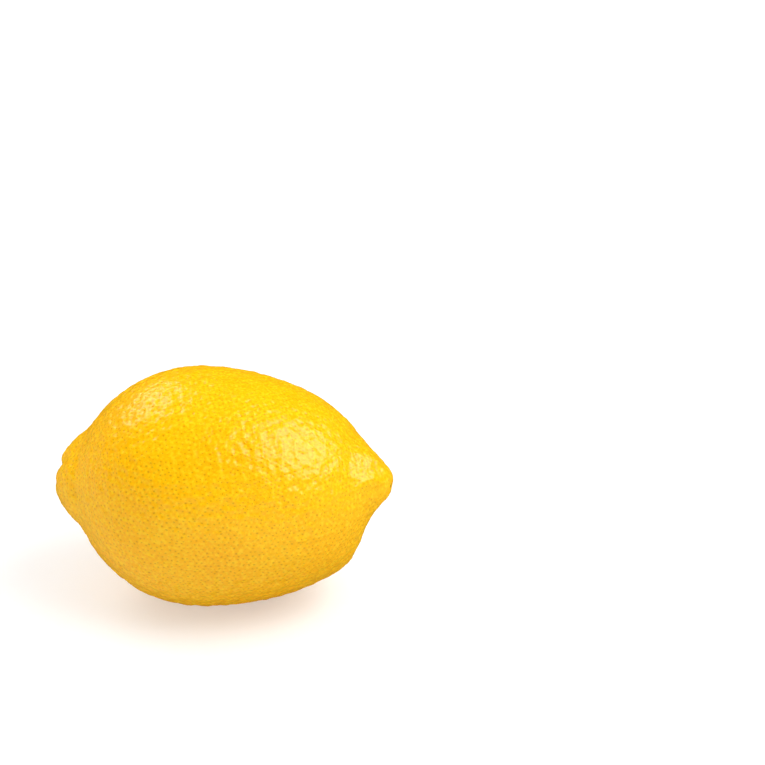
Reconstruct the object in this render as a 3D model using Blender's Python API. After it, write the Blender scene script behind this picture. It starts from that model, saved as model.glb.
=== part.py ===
"""A lemon as picked, lying on its side. It is one grown piece: a lobed collar round the pit that its stalk
left, an egg-shaped body, and a blunt ridged nipple at the blossom end. It rests on a small flat spot.

Everything is in metres with +Z up. The fruit's length runs along X, with the nipple at +X. The origin is
under the middle of the fruit, on the surface that it lies on.
"""

import math

import bmesh
import bpy
from mathutils import Matrix, Vector

MM = 0.001

# The half outline of the fruit as it would be turned on a lathe: (place along the length, radius) in mm.
# Zero along the length is the middle of the egg-shaped body.
STEM_PIT = [(-38.2, 0.0), (-38.25, 1.3), (-38.6, 2.1), (-39.4, 2.7)]
COLLAR = [(-39.95, 3.7), (-40.0, 5.1), (-39.4, 6.8), (-38.25, 8.6), (-36.7, 10.4), (-35.2, 11.8)]
SHOULDER = [(-33.7, 13.1), (-32.3, 15.1), (-30.5, 17.6), (-27.6, 20.7)]
BODY = [
    (-23.5, 24.0),
    (-18.0, 27.1),
    (-11.5, 29.15),
    (-4.0, 29.85),
    (4.0, 29.35),
    (12.0, 27.8),
    (19.5, 25.3),
    (25.5, 22.2),
]
NIPPLE_BASE = [(30.0, 18.7), (33.0, 15.3), (35.2, 12.0)]
NIPPLE = [(36.9, 9.0), (38.6, 6.7), (40.3, 4.95), (41.7, 3.5), (42.6, 1.9), (42.9, 0.0)]

# The step between rings on the detailed ends and on the smooth body, and the number of points in a ring.
END_STEP = 1.15 * MM
BODY_STEP = 2.9 * MM
RING_POINTS = 64

# The nipple stands off the fruit's axis, leaning up and forward. Angles round the axis start at the top and
# turn towards the front, which is -Y.
NIPPLE_OFFSET = 5.2 * MM
NIPPLE_LEAN = math.radians(15)
NIPPLE_BEND_START = 32.4 * MM
NIPPLE_BEND_END = 39.0 * MM

# Ridges that run down the nipple: (angle in degrees, half width in degrees, height in mm).
NIPPLE_RIDGES = [
    (14, 14, 0.8),
    (59, 16, 1.3),
    (102, 16, 0.3),
    (146, 19, 0.5),
    (202, 18, 0.45),
    (256, 19, 0.5),
    (313, 17, 0.4),
]
RIDGE_START = 32.5 * MM
RIDGE_PEAK = 39.4 * MM
RIDGE_END = 42.7 * MM

# The swellings of the collar round the stem pit and the furrows between them, in the same form.
COLLAR_LOBES = [(84, 54, 0.95), (176, 34, 0.25), (240, 32, 0.5), (300, 30, 0.5), (4, 26, 0.1)]
COLLAR_FURROWS = [(146, 17, 0.85), (210, 15, 1.1), (270, 17, 0.8), (332, 16, 1.15), (30, 15, 0.9)]
COLLAR_CENTRE = -31.5 * MM
LOBE_START = 1.2 * MM
LOBE_FULL = 5.0 * MM
FURROW_FADE_START = -36.0 * MM
FURROW_FADE_END = -30.0 * MM

# Slow swellings of the whole body: (number round the body, height in mm, angle in degrees of the first one).
BODY_WAVES = [(2, 0.22, 70), (3, 0.18, 20), (5, 0.1, 48)]
BODY_WAVE_TWIST = 9.0
BODY_RADIUS = 29.85 * MM

# Broad fullnesses and flats of the body: (place along the length, angle in degrees, spread, height), in mm.
BODY_BULGES = [
    (-12, 150, 17, 0.5),
    (-28, -30, 9, -0.2),
    (-32.5, 148, 4, -0.4),
    (20, 30, 16, 0.25),
    (6, 250, 18, -0.3),
    (35, 152, 6, 1.7),
]

# How the fruit lies: the nipple end a little low, and a flat spot pressed into the underside.
NIPPLE_DROP = math.radians(0.4)
FLAT_DEPTH = 0.32 * MM
WELD = 0.12 * MM


def smooth_outline(points, step):
    """Points along a smooth curve through these ones, no further apart than step(place along the length)."""
    first = Vector((points[1].x, -points[1].y))
    last = Vector((points[-2].x, -points[-2].y))
    padded = [first, *points, last]
    curve = []
    for before, start, end, after in zip(padded, padded[1:], padded[2:], padded[3:]):
        span = (end - start).length
        leave = (end - before) * span / ((end - start).length + (start - before).length)
        arrive = (after - start) * span / ((after - end).length + (end - start).length)
        count = max(1, round(span / step((start.x + end.x) / 2)))
        for index in range(count):
            t = index / count
            curve.append(
                start * (2 * t**3 - 3 * t**2 + 1)
                + leave * (t**3 - 2 * t**2 + t)
                + end * (3 * t**2 - 2 * t**3)
                + arrive * (t**3 - t**2)
            )
    curve.append(points[-1])
    return curve


def ring_step(place):
    """The step between rings: short on the collar and the nipple, long on the body between them."""
    on_body = SHOULDER[2][0] * MM < place < NIPPLE_BASE[0][0] * MM
    return BODY_STEP if on_body else END_STEP


def ramp(value, start, end):
    """A smooth rise from 0 at start to 1 at end."""
    t = min(1.0, max(0.0, (value - start) / (end - start)))
    return t * t * (3 - 2 * t)


def swelling(angle, bumps):
    """The summed height at this angle of bumps given as (angle, half width, height)."""
    total = 0.0
    for centre, half_width, height in bumps:
        away = math.remainder(angle - math.radians(centre), math.tau)
        total += height * MM * math.exp(-((away / math.radians(half_width)) ** 2))
    return total


def around(angle):
    """The direction at this angle round the fruit's axis, from the top towards the front."""
    return Vector((0.0, -math.sin(angle), math.cos(angle)))


def body_wave(place, angle, radius):
    """How far the slow swellings of the body lift the skin."""
    lift = 0.0
    for number, height, start in BODY_WAVES:
        lift += height * MM * math.cos(number * (angle - math.radians(start)) + BODY_WAVE_TWIST * place)
    return lift * (radius / BODY_RADIUS) ** 2


def body_bulge(place, angle, radius):
    """How far the broad fullnesses and flats of the body lift the skin."""
    lift = 0.0
    for centre, turn, spread, height in BODY_BULGES:
        away = math.remainder(angle - math.radians(turn), math.tau)
        apart = math.hypot(place - centre * MM, radius * away) / (spread * MM)
        lift += height * MM * math.exp(-apart * apart)
    return lift


def collar_lift(place, angle, radius):
    """How far the lobes and furrows of the collar lift or sink the skin."""
    on_neck = 1.0 - ramp(place, FURROW_FADE_START, FURROW_FADE_END)
    off_pit = ramp(radius, LOBE_START, LOBE_FULL)
    lobes = swelling(angle, COLLAR_LOBES)
    furrows = swelling(angle, COLLAR_FURROWS)
    return (lobes - furrows) * on_neck * off_pit


def nipple_lift(place, angle):
    """How far the ridges that run down the nipple lift the skin."""
    along = ramp(place, RIDGE_START, RIDGE_PEAK) * (1.0 - ramp(place, RIDGE_PEAK, RIDGE_END))
    mean = sum(height * width for _, width, height in NIPPLE_RIDGES) * MM * math.sqrt(math.pi) / 360
    return (swelling(angle, NIPPLE_RIDGES) - mean) * along


def grown(point):
    """Where a point of the lathe-turned form lies on the real, uneven fruit."""
    place = point.x
    radius = math.hypot(point.y, point.z)
    angle = math.atan2(-point.y, point.z)
    out = around(angle)
    on_body = body_wave(place, angle, radius) + body_bulge(place, angle, radius)
    moved = point + out * (on_body + nipple_lift(place, angle))
    if place < FURROW_FADE_END:
        from_neck = Vector((place - COLLAR_CENTRE, 0.0, 0.0)) + out * radius
        moved += from_neck.normalized() * collar_lift(place, angle, radius)
    bend = ramp(place, NIPPLE_BEND_START, NIPPLE_BEND_END)
    return moved + around(NIPPLE_LEAN) * NIPPLE_OFFSET * bend


def turned_form(mesh):
    """Spins the half outline about the fruit's axis into a closed form."""
    pairs = STEM_PIT + COLLAR + SHOULDER + BODY + NIPPLE_BASE + NIPPLE
    outline = [Vector(pair) * MM for pair in pairs]
    curve = smooth_outline(outline, ring_step)
    corners = [mesh.verts.new((point.x, 0.0, max(point.y, 0.0))) for point in curve]
    edges = [mesh.edges.new(pair) for pair in zip(corners, corners[1:])]
    bmesh.ops.spin(
        mesh,
        geom=corners + edges,
        cent=(0, 0, 0),
        axis=(1, 0, 0),
        angle=math.tau,
        steps=RING_POINTS,
        use_merge=True,
    )
    bmesh.ops.remove_doubles(mesh, verts=mesh.verts, dist=MM / 1000)


def lie_down(mesh):
    """Turns the fruit as it lies, presses the flat spot and moves the origin under its middle."""
    bmesh.ops.rotate(mesh, verts=mesh.verts, matrix=Matrix.Rotation(NIPPLE_DROP, 3, "Y"))
    lowest = min(vert.co.z for vert in mesh.verts)
    cut = bmesh.ops.bisect_plane(
        mesh,
        geom=[*mesh.verts, *mesh.edges, *mesh.faces],
        plane_co=(0, 0, lowest + FLAT_DEPTH),
        plane_no=(0, 0, 1),
        clear_inner=True,
    )
    rim = [item for item in cut["geom_cut"] if isinstance(item, bmesh.types.BMVert)]
    bmesh.ops.remove_doubles(mesh, verts=rim, dist=WELD)
    open_edges = [edge for edge in mesh.edges if edge.is_boundary]
    bmesh.ops.contextual_create(mesh, geom=open_edges)
    middle = [
        (max(vert.co[axis] for vert in mesh.verts) + min(vert.co[axis] for vert in mesh.verts)) / 2
        for axis in (0, 1)
    ]
    bmesh.ops.translate(mesh, verts=mesh.verts, vec=(-middle[0], -middle[1], -lowest - FLAT_DEPTH))
    bmesh.ops.recalc_face_normals(mesh, faces=mesh.faces)


def peel_material():
    """Ripe yellow peel with a waxy shine."""
    material = bpy.data.materials.new("lemon_peel")
    material.use_nodes = True
    shader = material.node_tree.nodes["Principled BSDF"]
    shader.inputs["Base Color"].default_value = (0.93, 0.5, 0.01, 1.0)
    shader.inputs["Roughness"].default_value = 0.38
    shader.inputs["Metallic"].default_value = 0.0
    return material


def make_lemon():
    """The whole fruit as one closed mesh."""
    mesh = bmesh.new()
    turned_form(mesh)
    for vert in mesh.verts:
        vert.co = grown(vert.co)
    lie_down(mesh)
    data = bpy.data.meshes.new("lemon")
    mesh.to_mesh(data)
    mesh.free()
    data.shade_smooth()
    data.materials.append(peel_material())
    lemon = bpy.data.objects.new("lemon", data)
    bpy.context.scene.collection.objects.link(lemon)


for old in list(bpy.data.objects):
    bpy.data.objects.remove(old)
make_lemon()
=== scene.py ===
"""A ripe lemon lying on its side on a white studio table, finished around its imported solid."""

import math
import random

import bmesh
import bpy
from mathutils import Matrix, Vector, noise
from mathutils.bvhtree import BVHTree


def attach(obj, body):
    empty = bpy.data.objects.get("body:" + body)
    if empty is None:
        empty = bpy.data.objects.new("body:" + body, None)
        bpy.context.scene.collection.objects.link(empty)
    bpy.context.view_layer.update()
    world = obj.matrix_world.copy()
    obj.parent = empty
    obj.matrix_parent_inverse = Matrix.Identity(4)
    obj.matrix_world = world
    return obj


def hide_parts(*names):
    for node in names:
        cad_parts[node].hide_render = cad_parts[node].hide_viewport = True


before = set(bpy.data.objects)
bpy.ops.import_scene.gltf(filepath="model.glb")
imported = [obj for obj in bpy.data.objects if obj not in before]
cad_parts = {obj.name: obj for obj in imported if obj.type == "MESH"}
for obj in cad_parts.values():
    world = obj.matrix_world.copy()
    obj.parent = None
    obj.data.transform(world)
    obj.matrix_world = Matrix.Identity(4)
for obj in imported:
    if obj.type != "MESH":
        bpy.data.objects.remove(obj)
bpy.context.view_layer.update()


# The peel's net. A lemon is one grown fruit in a tough waxy rind, with no seam anywhere. The rind is
# full of tiny oil glands, about a millimetre apart. A net with one point for each gland is laid over
# the rounded solid and evened out, and then every gland strays a little, as real ones do.
MM = 0.001
WELD = 0.002 * MM
CORE = Vector((0.0, 0.0, 29.5)) * MM
PAIRING_ANGLE = math.radians(40)
ROUNDING_LEVELS = 3
NET_ROUNDS = 6
NET_STRETCH = Vector((1.3, 1.0, 1.0))
RAY_REACH = 0.1
EVENING_ROUNDS = 40
EVENING_SHARE = 0.5
GLAND_STRAY = 0.33
GLAND_SEED = 5
MARKS = ("eye", "crest_and_glint", "lip", "floor", "dot")


def rounded_solid(node):
    """The solid's triangles joined, paired into quads and rounded off, as a tree to lay points on."""
    form = bmesh.new()
    form.from_mesh(node.data)
    bmesh.ops.remove_doubles(form, verts=form.verts, dist=WELD)
    bmesh.ops.join_triangles(
        form, faces=form.faces, angle_face_threshold=PAIRING_ANGLE, angle_shape_threshold=math.pi
    )
    data = bpy.data.meshes.new("rounded_solid")
    form.to_mesh(data)
    form.free()
    helper = bpy.data.objects.new("rounded_solid", data)
    bpy.context.scene.collection.objects.link(helper)
    rounding = helper.modifiers.new("rounding", "SUBSURF")
    rounding.levels = ROUNDING_LEVELS
    rounding.render_levels = ROUNDING_LEVELS
    tree = BVHTree.FromObject(helper, bpy.context.evaluated_depsgraph_get())
    bpy.data.objects.remove(helper)
    return tree


def lay_down(net, solid):
    """Moves every point of the net to the nearest place on the solid."""
    for vert in net.verts:
        vert.co = solid.find_nearest(vert.co)[0]


def gland_net(solid):
    """A closed net in which the first points are the glands, and how many they are."""
    net = bmesh.new()
    for name in MARKS:
        net.verts.layers.float.new(name)
    bmesh.ops.create_icosphere(net, subdivisions=NET_ROUNDS, radius=1.0)
    for vert in net.verts:
        outward = (vert.co * NET_STRETCH).normalized()
        vert.co = solid.ray_cast(CORE, outward, RAY_REACH)[0]
    for _ in range(EVENING_ROUNDS):
        bmesh.ops.smooth_vert(
            net,
            verts=net.verts,
            factor=EVENING_SHARE,
            use_axis_x=True,
            use_axis_y=True,
            use_axis_z=True,
        )
        lay_down(net, solid)
    chance = random.Random(GLAND_SEED)
    strays = {}
    for vert in net.verts:
        step = min(edge.calc_length() for edge in vert.link_edges)
        strays[vert] = Vector([chance.uniform(-1, 1) for _ in range(3)]) * GLAND_STRAY * step
    for vert, stray in strays.items():
        vert.co += stray
    glands = len(net.verts)
    bmesh.ops.subdivide_edges(net, edges=net.edges, cuts=2, use_grid_fill=True)
    lay_down(net, solid)
    bmesh.ops.recalc_face_normals(net, faces=net.faces)
    return net, glands


solid = rounded_solid(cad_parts["lemon"])
net, glands = gland_net(solid)


# The glands' dimples. Each gland is a dimple with a darker eye, and the rind rises to a tiny crest
# between three glands. Under them lie broader dimples and slow swellings. The dimples are shallower
# at the nipple's tip and at the stalk, and nothing is pressed where the flat spot meets the table.
GLAND_DEPTH = 0.13 * MM
GLAND_SIDE = 0.3
EYE_STRENGTHS = (0.4, 1.0)
CREST_AND_GLINT_STRENGTHS = (0.2, 1.0)
BROAD_SIZE = 1.9 * MM
BROAD_EDGE = (0.1, 0.75)
BROAD_DEPTH = 0.25 * MM
WAVE_SIZE = 2.6 * MM
WAVE_DEPTH = 0.3 * MM
SWELL_SIZE = 5.5 * MM
SWELL_DEPTH = 0.2 * MM
SKIN_LIFT = 0.26 * MM
FLAT_EDGE = 1.2 * MM
CALM_SHARE = 0.35
CALM_AT_TIP = (3.0 * MM, 11.0 * MM)
CALM_AT_STALK = (3.5 * MM, 10.0 * MM)
STALK_PIT = solid.ray_cast(CORE, (-1.0, 0.0, 0.0))[0]
NIPPLE_TIP = max((vert.co for vert in net.verts), key=lambda place: place.x).copy()


def smooth_rise(value, start, end):
    """0 below start, 1 above end and a soft rise between."""
    share = min(1.0, max(0.0, (value - start) / (end - start)))
    return share * share * (3 - 2 * share)


def calm(place):
    """The share by which the dimples are shallower here: 0 on the body, most at the tip and the stalk."""
    at_tip = 1.0 - smooth_rise((place - NIPPLE_TIP).length, *CALM_AT_TIP)
    at_stalk = 1.0 - smooth_rise((place - STALK_PIT).length, *CALM_AT_STALK)
    return CALM_SHARE * max(at_tip, at_stalk)


def slow_noise(place, size):
    """Soft noise about 0.5 with features of this size."""
    return 0.5 + 0.5 * noise.noise(place / size)


def press_dimples(net, glands):
    """Presses the dimples about the solid's own skin, so it keeps its size, and marks eyes and crests."""
    eye = net.verts.layers.float["eye"]
    crest_and_glint = net.verts.layers.float["crest_and_glint"]
    chance = random.Random(GLAND_SEED)
    for number, vert in enumerate(net.verts):
        vert[eye] = chance.uniform(*EYE_STRENGTHS) if number < glands else 0.0
    presses = {}
    for vert in net.verts:
        lively = 1.0 - calm(vert.co)
        nearest = max(edge.other_vert(vert)[eye] for edge in vert.link_edges)
        near_eye = max(vert[eye], nearest * GLAND_SIDE)
        vert[crest_and_glint] = chance.uniform(*CREST_AND_GLINT_STRENGTHS) if near_eye == 0 else 0.0
        broad = 1.0 - smooth_rise(noise.voronoi(vert.co / BROAD_SIZE)[0][0], *BROAD_EDGE)
        wave = slow_noise(vert.co, WAVE_SIZE)
        swell = slow_noise(vert.co, SWELL_SIZE)
        press = GLAND_DEPTH * near_eye + BROAD_DEPTH * broad + WAVE_DEPTH * wave - SKIN_LIFT
        press = press * lively + SWELL_DEPTH * swell
        presses[vert] = vert.normal * press * smooth_rise(vert.co.z, 0.0, FLAT_EDGE)
        vert[eye] *= lively
        vert[crest_and_glint] *= lively
    for vert, press in presses.items():
        vert.co -= press


net.normal_update()
press_dimples(net, glands)


# The stalk's scar and the dry dot of the style. Where the stalk snapped off it leaves an angular pit
# with a thin brown corky lip. Where the flower's style dropped off, the nipple has a small dark dot.
PIT_RADIUS = 2.35 * MM
PIT_DEPTH = 0.8 * MM
PIT_SLOPE = 1.5 * MM
PIT_BRIM = 0.1 * MM
PIT_AREA = 6 * MM
PIT_REACHES = (3.7 * MM, 3.5 * MM)
LIP_WIDTH = 0.36 * MM
LIP_WAVER = 0.12 * MM
LIP_WAVER_SIZE = MM / 1.2
DOT_FACING = Vector((0.98, -0.17, -0.07))
DOT_PLACE = max((vert.co for vert in net.verts), key=DOT_FACING.dot).copy()
DOT_RADIUS = 0.55 * MM
DOT_INNER = 0.6 * DOT_RADIUS
DOT_OUTER = 1.3 * DOT_RADIUS
DOT_DEPTH = 0.18 * MM
DOT_WAVER = 0.15 * MM
DOT_WAVER_SIZE = MM / 2.5
DOT_REACHES = (1.3 * MM, 1.0 * MM)

# The pit's corners: (angle in degrees, how far the corner reaches out in mm).
PIT_CORNERS = [(20, 0.35), (95, 0.5), (160, 0.25), (232, 0.55), (300, 0.3)]
CORNER_SPREAD = math.radians(34)


def finer_net(net, middle, reach):
    """Splits the net's edges within reach of this point."""
    close = [edge for edge in net.edges if all((vert.co - middle).length < reach for vert in edge.verts)]
    bmesh.ops.subdivide_edges(net, edges=close, cuts=1, use_grid_fill=True)


def pit_edge(angle):
    """The distance from the pit's middle to its lip at this angle round it."""
    edge = PIT_RADIUS
    for corner, height in PIT_CORNERS:
        away = abs(math.remainder(angle - math.radians(corner), math.tau))
        edge += height * MM * max(0.0, 1.0 - away / CORNER_SPREAD)
    return edge


def mark_scars(net):
    """Presses the scars in and marks the pit's lip and floor and the style's dot."""
    for middle, reaches in ((STALK_PIT, PIT_REACHES), (DOT_PLACE, DOT_REACHES)):
        for reach in reaches:
            finer_net(net, middle, reach)
    lips = net.verts.layers.float["lip"]
    floors = net.verts.layers.float["floor"]
    dots = net.verts.layers.float["dot"]
    for vert in net.verts:
        to_dot = (vert.co - DOT_PLACE).length + DOT_WAVER * noise.noise(vert.co / DOT_WAVER_SIZE)
        vert[dots] = 1.0 - smooth_rise(to_dot, DOT_INNER, DOT_OUTER)
        vert[lips] = 0.0
        vert[floors] = 0.0
        if (vert.co - STALK_PIT).length < PIT_AREA:
            across = math.hypot(vert.co.y - STALK_PIT.y, vert.co.z - STALK_PIT.z)
            angle = math.atan2(vert.co.z - STALK_PIT.z, vert.co.y - STALK_PIT.y)
            edge = pit_edge(angle) + LIP_WAVER * noise.noise(vert.co / LIP_WAVER_SIZE)
            vert[lips] = math.exp(-(((across - edge) / LIP_WIDTH) ** 2))
            vert[floors] = 1.0 - smooth_rise(across, edge - PIT_SLOPE, edge + PIT_BRIM)
        press = PIT_DEPTH * vert[floors] + DOT_DEPTH * vert[dots]
        vert.co += (CORE - vert.co).normalized() * press


mark_scars(net)
bmesh.ops.triangulate(net, faces=net.faces)
bmesh.ops.recalc_face_normals(net, faces=net.faces)
peel_mesh = bpy.data.meshes.new("lemon_peel")
net.to_mesh(peel_mesh)
net.free()
peel_mesh.shade_smooth()
peel = bpy.data.objects.new("lemon_peel", peel_mesh)
bpy.context.scene.collection.objects.link(peel)


# The peel's finish. The rind is a waxy lemon yellow, a little translucent, deeper in slow patches and
# finely flecked with a paler yellow, partly the rind's own tone and partly a painted glint. Every gland's
# eye is darker. The crests between are paler, partly the rind's own tone and partly a painted glint on
# the raised rind. The stalk pit has a lip of cork and a mottled brown floor.
YELLOW = (0.95, 0.48, 0.001, 1.0)
DEEP_YELLOW = (0.94, 0.445, 0.001, 1.0)
EYE_YELLOW = (0.6, 0.26, 0.001, 1.0)
# Paler crest yellow: partly the rind's own tone, partly a painted glint on the raised rind.
CREST_AND_GLINT_YELLOW = (1.0, 0.59, 0.006, 1.0)
# Paler fleck yellow: partly the rind's own tone, partly a painted glint.
FLECK_AND_GLINT_YELLOW = (1.0, 0.66, 0.014, 1.0)
CORK = (0.16, 0.065, 0.02, 1.0)
PALE_CORK = (0.34, 0.16, 0.05, 1.0)
PIT_FLOOR = (0.7, 0.3, 0.02, 1.0)
PIT_BROWN = (0.42, 0.18, 0.03, 1.0)
PATCH_SIZE = 16 * MM
PATCH_DETAIL = 3.0
PATCH_LIMITS = (0.35, 0.65)
FLECK_AND_GLINT_SIZE = 0.8 * MM
FLECK_AND_GLINT_DETAIL = 1.0
FLECK_AND_GLINT_LIMITS = (0.42, 0.72)
FLECK_AND_GLINT_SHARE = 0.6
CREST_AND_GLINT_LIMITS = (0.2, 0.8)
CREST_AND_GLINT_SHARE = 0.9
EYE_LIMITS = (0.1, 0.65)
EYE_SHARE = 0.62
CORK_GRAIN = 0.45 * MM
GRAIN_LIMITS = (0.4, 0.65)
FLOOR_LIMITS = (0.05, 0.5)
LIP_LIMITS = (0.2, 0.85)
WAX_ROUGHNESS = 0.27
WAX_IOR = 1.4
SOAK_WEIGHT = 0.15
SOAK_COLOURS = (1.0, 0.5, 0.1)
SOAK_DEPTH = 1.2 * MM
RELIEF_DEPTH = 0.04 * MM
RELIEF_STRENGTH = 0.5


def add(tree, kind, **settings):
    """A new node with these settings."""
    node = tree.nodes.new(kind)
    for name, value in settings.items():
        setattr(node, name, value)
    return node


def math_node(tree, operation, first, second=0.0):
    """One sum on two values or sockets; returns its result."""
    node = add(tree, "ShaderNodeMath", operation=operation)
    for socket, value in zip(node.inputs, (first, second)):
        if isinstance(value, bpy.types.NodeSocket):
            tree.links.new(value, socket)
        else:
            socket.default_value = value
    return node.outputs[0]


def remap(tree, value, low, high, to_low=0.0, to_high=1.0):
    """The value moved smoothly from one range to another."""
    node = add(tree, "ShaderNodeMapRange", interpolation_type="SMOOTHSTEP")
    tree.links.new(value, node.inputs["Value"])
    for name, number in (("From Min", low), ("From Max", high), ("To Min", to_low), ("To Max", to_high)):
        node.inputs[name].default_value = number
    return node.outputs["Result"]


def noise_node(tree, place, size, detail=2.0):
    """Soft noise about 0.5 with features of this size."""
    node = add(tree, "ShaderNodeTexNoise")
    tree.links.new(place, node.inputs["Vector"])
    node.inputs["Scale"].default_value = 1.0 / size
    node.inputs["Detail"].default_value = detail
    return node.outputs["Fac"]


def mark(tree, name):
    """A mark that the mesh carries."""
    return add(tree, "ShaderNodeAttribute", attribute_name=name).outputs["Fac"]


def blend(tree, share, first, second):
    """Mixes two colours, or sockets that give one."""
    node = add(tree, "ShaderNodeMix", data_type="RGBA")
    tree.links.new(share, node.inputs["Factor"])
    for name, value in (("A", first), ("B", second)):
        socket = next(one for one in node.inputs if one.name == name and one.type == "RGBA")
        if isinstance(value, bpy.types.NodeSocket):
            tree.links.new(value, socket)
        else:
            socket.default_value = value
    return next(one for one in node.outputs if one.type == "RGBA")


def peel_material():
    """The whole rind's material."""
    material = bpy.data.materials.new("lemon_peel")
    material.use_nodes = True
    tree = material.node_tree
    shader = tree.nodes["Principled BSDF"]
    place = tree.nodes.new("ShaderNodeTexCoord").outputs["Object"]
    patch = remap(tree, noise_node(tree, place, PATCH_SIZE, PATCH_DETAIL), *PATCH_LIMITS)
    eye = remap(tree, mark(tree, "eye"), *EYE_LIMITS)
    crest_and_glint = remap(tree, mark(tree, "crest_and_glint"), *CREST_AND_GLINT_LIMITS)
    colour = blend(tree, patch, YELLOW, DEEP_YELLOW)
    # Fine paler flecks: partly the rind's own tone, partly a painted glint.
    fleck_and_glint = remap(tree, noise_node(tree, place, FLECK_AND_GLINT_SIZE, FLECK_AND_GLINT_DETAIL), *FLECK_AND_GLINT_LIMITS)
    colour = blend(tree, math_node(tree, "MULTIPLY", fleck_and_glint, FLECK_AND_GLINT_SHARE), colour, FLECK_AND_GLINT_YELLOW)
    # Paler crests between the glands: partly the rind's own tone, partly a painted glint.
    colour = blend(tree, math_node(tree, "MULTIPLY", crest_and_glint, CREST_AND_GLINT_SHARE), colour, CREST_AND_GLINT_YELLOW)
    colour = blend(tree, math_node(tree, "MULTIPLY", eye, EYE_SHARE), colour, EYE_YELLOW)
    grain = remap(tree, noise_node(tree, place, CORK_GRAIN), *GRAIN_LIMITS)
    cork = blend(tree, grain, CORK, PALE_CORK)
    pit = blend(tree, grain, PIT_FLOOR, PIT_BROWN)
    colour = blend(tree, remap(tree, mark(tree, "floor"), *FLOOR_LIMITS), colour, pit)
    colour = blend(tree, remap(tree, mark(tree, "lip"), *LIP_LIMITS), colour, cork)
    colour = blend(tree, mark(tree, "dot"), colour, CORK)
    tree.links.new(colour, shader.inputs["Base Color"])
    shader.inputs["Roughness"].default_value = WAX_ROUGHNESS
    shader.inputs["IOR"].default_value = WAX_IOR
    shader.inputs["Subsurface Weight"].default_value = SOAK_WEIGHT
    shader.inputs["Subsurface Radius"].default_value = SOAK_COLOURS
    shader.inputs["Subsurface Scale"].default_value = SOAK_DEPTH
    relief = add(tree, "ShaderNodeBump")
    relief.inputs["Distance"].default_value = RELIEF_DEPTH
    relief.inputs["Strength"].default_value = RELIEF_STRENGTH
    tree.links.new(math_node(tree, "SUBTRACT", crest_and_glint, eye), relief.inputs["Height"])
    tree.links.new(relief.outputs["Normal"], shader.inputs["Normal"])
    return material


peel_mesh.materials.append(peel_material())
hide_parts("lemon")
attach(peel, "root")


# The table. A plain white studio table with a faint glow of its own, stronger away from the fruit and
# a little stronger to the camera, which keeps the shadow pale and the far edge unseen. It isn't
# mirrored in the fruit's wax: the pale low side of the studio stands in for it there.
TABLE_RADIUS = 3.0
TABLE_SIDES = 96
TABLE_WHITE = (0.6, 0.6, 0.6, 1.0)
TABLE_ROUGHNESS = 0.9
GLOW_WHITE = (1.0, 1.0, 1.0, 1.0)
TABLE_GLOW = 0.28
FAR_GLOW = 0.64
FAR_PLACE = 1.2
SEEN_GLOW = 0.14

table = bmesh.new()
bmesh.ops.create_circle(table, cap_ends=True, segments=TABLE_SIDES, radius=TABLE_RADIUS)
table_mesh = bpy.data.meshes.new("table")
table.to_mesh(table_mesh)
table.free()
white = bpy.data.materials.new("table_white")
white.use_nodes = True
white_shader = white.node_tree.nodes["Principled BSDF"]
white_shader.inputs["Base Color"].default_value = TABLE_WHITE
white_shader.inputs["Roughness"].default_value = TABLE_ROUGHNESS
white_shader.inputs["Emission Color"].default_value = GLOW_WHITE
white_tree = white.node_tree
spot = white_tree.nodes.new("ShaderNodeTexCoord").outputs["Object"]
away = add(white_tree, "ShaderNodeVectorMath", operation="LENGTH")
white_tree.links.new(spot, away.inputs[0])
glow = remap(white_tree, away.outputs["Value"], 0.0, FAR_PLACE, TABLE_GLOW, FAR_GLOW)
seen_here = white_tree.nodes.new("ShaderNodeLightPath").outputs["Is Camera Ray"]
glow = math_node(white_tree, "ADD", glow, math_node(white_tree, "MULTIPLY", seen_here, SEEN_GLOW))
white_tree.links.new(glow, white_shader.inputs["Emission Strength"])
table_mesh.materials.append(white)
table_object = bpy.data.objects.new("table", table_mesh)
bpy.context.scene.collection.objects.link(table_object)
table_object.visible_glossy = False


# The light. A wide dome, strongest from high at the left, lights the fruit softly, but isn't mirrored in
# the wax. What is mirrored is a large soft box high at the right, one at the back on the left, and the
# dim studio, paler low at the front and left. Behind the table the camera sees plain white.
DOME_SPREAD = math.radians(150)
DOME_STRENGTH = 2.4
DOME_SIDE = -75
DOME_ELEVATION = 60
DIM_STUDIO = (0.03, 0.03, 0.03, 1.0)
PALE_STUDIO = (0.46, 0.46, 0.46, 1.0)
BACKDROP_WHITE = (1.0, 1.0, 1.0, 1.0)
PALE_AZIMUTH = -40
PALE_LIMITS = (-0.2, 0.35)
PALE_HEIGHT = 0.3
LIGHT_DISTANCE = 0.8

# The soft boxes: (name, azimuth in degrees, elevation in degrees, width in m, height in m, radiance).
SOFT_BOXES = [
    ("right_box", 86, 49, 0.7, 0.6, 4.8),
    ("back_box", -132, 40, 0.42, 0.34, 3.9),
]


def heading(azimuth, elevation):
    """The direction this many degrees to the right of the front and above the table."""
    around = math.radians(azimuth)
    above = math.radians(elevation)
    level = math.cos(above)
    return Vector((math.sin(around) * level, -math.cos(around) * level, math.sin(above)))


def soft_box(name, azimuth, elevation, width, height, radiance):
    """A rectangular area light that faces the fruit, of this brightness."""
    data = bpy.data.lights.new(name, "AREA")
    data.shape = "RECTANGLE"
    data.size = width
    data.size_y = height
    data.energy = radiance * math.pi * width * height
    box = bpy.data.objects.new(name, data)
    toward = heading(azimuth, elevation)
    box.location = CORE + toward * LIGHT_DISTANCE
    box.rotation_euler = toward.to_track_quat("Z", "Y").to_euler()
    bpy.context.scene.collection.objects.link(box)


for box in SOFT_BOXES:
    soft_box(*box)

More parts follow.
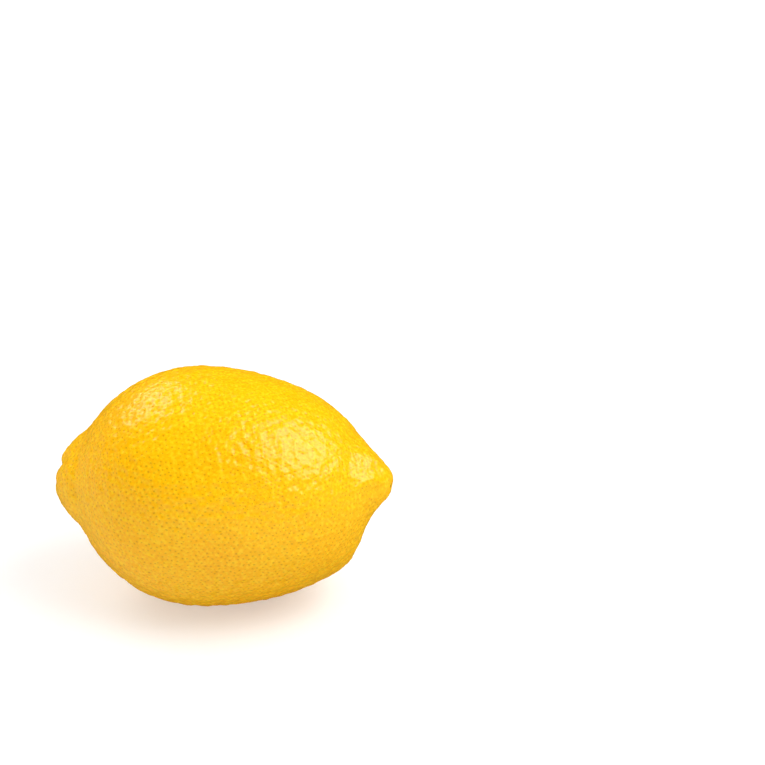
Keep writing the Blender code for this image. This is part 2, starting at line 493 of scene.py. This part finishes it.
dome_data = bpy.data.lights.new("dome", "SUN")
dome_data.angle = DOME_SPREAD
dome_data.energy = DOME_STRENGTH
dome_data.cycles.use_multiple_importance_sampling = False
dome = bpy.data.objects.new("dome", dome_data)
dome.rotation_euler = heading(DOME_SIDE, DOME_ELEVATION).to_track_quat("Z", "Y").to_euler()
dome.visible_glossy = False
bpy.context.scene.collection.objects.link(dome)

world = bpy.data.worlds.new("studio")
world.use_nodes = True
bpy.context.scene.world = world
sky = world.node_tree
direction = sky.nodes.new("ShaderNodeTexCoord").outputs["Generated"]
parts = sky.nodes.new("ShaderNodeSeparateXYZ")
sky.links.new(direction, parts.inputs[0])
sideways = add(sky, "ShaderNodeVectorMath", operation="DOT_PRODUCT")
sky.links.new(direction, sideways.inputs[0])
sideways.inputs[1].default_value = heading(PALE_AZIMUTH, 0)
pale = remap(sky, sideways.outputs["Value"], *PALE_LIMITS)
pale = math_node(sky, "MULTIPLY", pale, remap(sky, parts.outputs["Z"], 0.0, PALE_HEIGHT, 1.0, 0.0))
studio = blend(sky, pale, DIM_STUDIO, PALE_STUDIO)
seen = sky.nodes.new("ShaderNodeLightPath").outputs["Is Camera Ray"]
studio = blend(sky, seen, studio, BACKDROP_WHITE)
sky.links.new(studio, sky.nodes["Background"].inputs["Color"])
sky.nodes["Background"].inputs["Strength"].default_value = 1.0


# The camera. It looks down at the fruit from the front, a little from the nipple's side, and is
# aimed past it to the upper right, where the middle of the picture lies.
CAMERA_AZIMUTH = 7
CAMERA_ELEVATION = 28
CAMERA_DISTANCE = 0.9
SENSOR_WIDTH = 36.0
NEAREST_SEEN = 0.05
FARTHEST_SEEN = 20.0
PICTURE_HALF_WIDTH = 94.8 * MM
AIM_HEIGHT = 29.0 * MM
AIM_RIGHT = 38.8 * MM
AIM_UP = 25.95 * MM

back = heading(CAMERA_AZIMUTH, CAMERA_ELEVATION)
right = heading(CAMERA_AZIMUTH + 90, 0)
up = back.cross(right)
lens = bpy.data.cameras.new("camera")
lens.sensor_width = SENSOR_WIDTH
lens.lens = SENSOR_WIDTH / 2 * CAMERA_DISTANCE / PICTURE_HALF_WIDTH
lens.clip_start = NEAREST_SEEN
lens.clip_end = FARTHEST_SEEN
camera = bpy.data.objects.new("camera", lens)
aim = Vector((0.0, 0.0, AIM_HEIGHT)) + right * AIM_RIGHT + up * AIM_UP
camera.location = aim + back * CAMERA_DISTANCE
camera.rotation_euler = back.to_track_quat("Z", "Y").to_euler()
bpy.context.scene.collection.objects.link(camera)
bpy.context.scene.camera = camera
bpy.context.scene.view_settings.view_transform = "Standard"

bpy.context.view_layer.update()
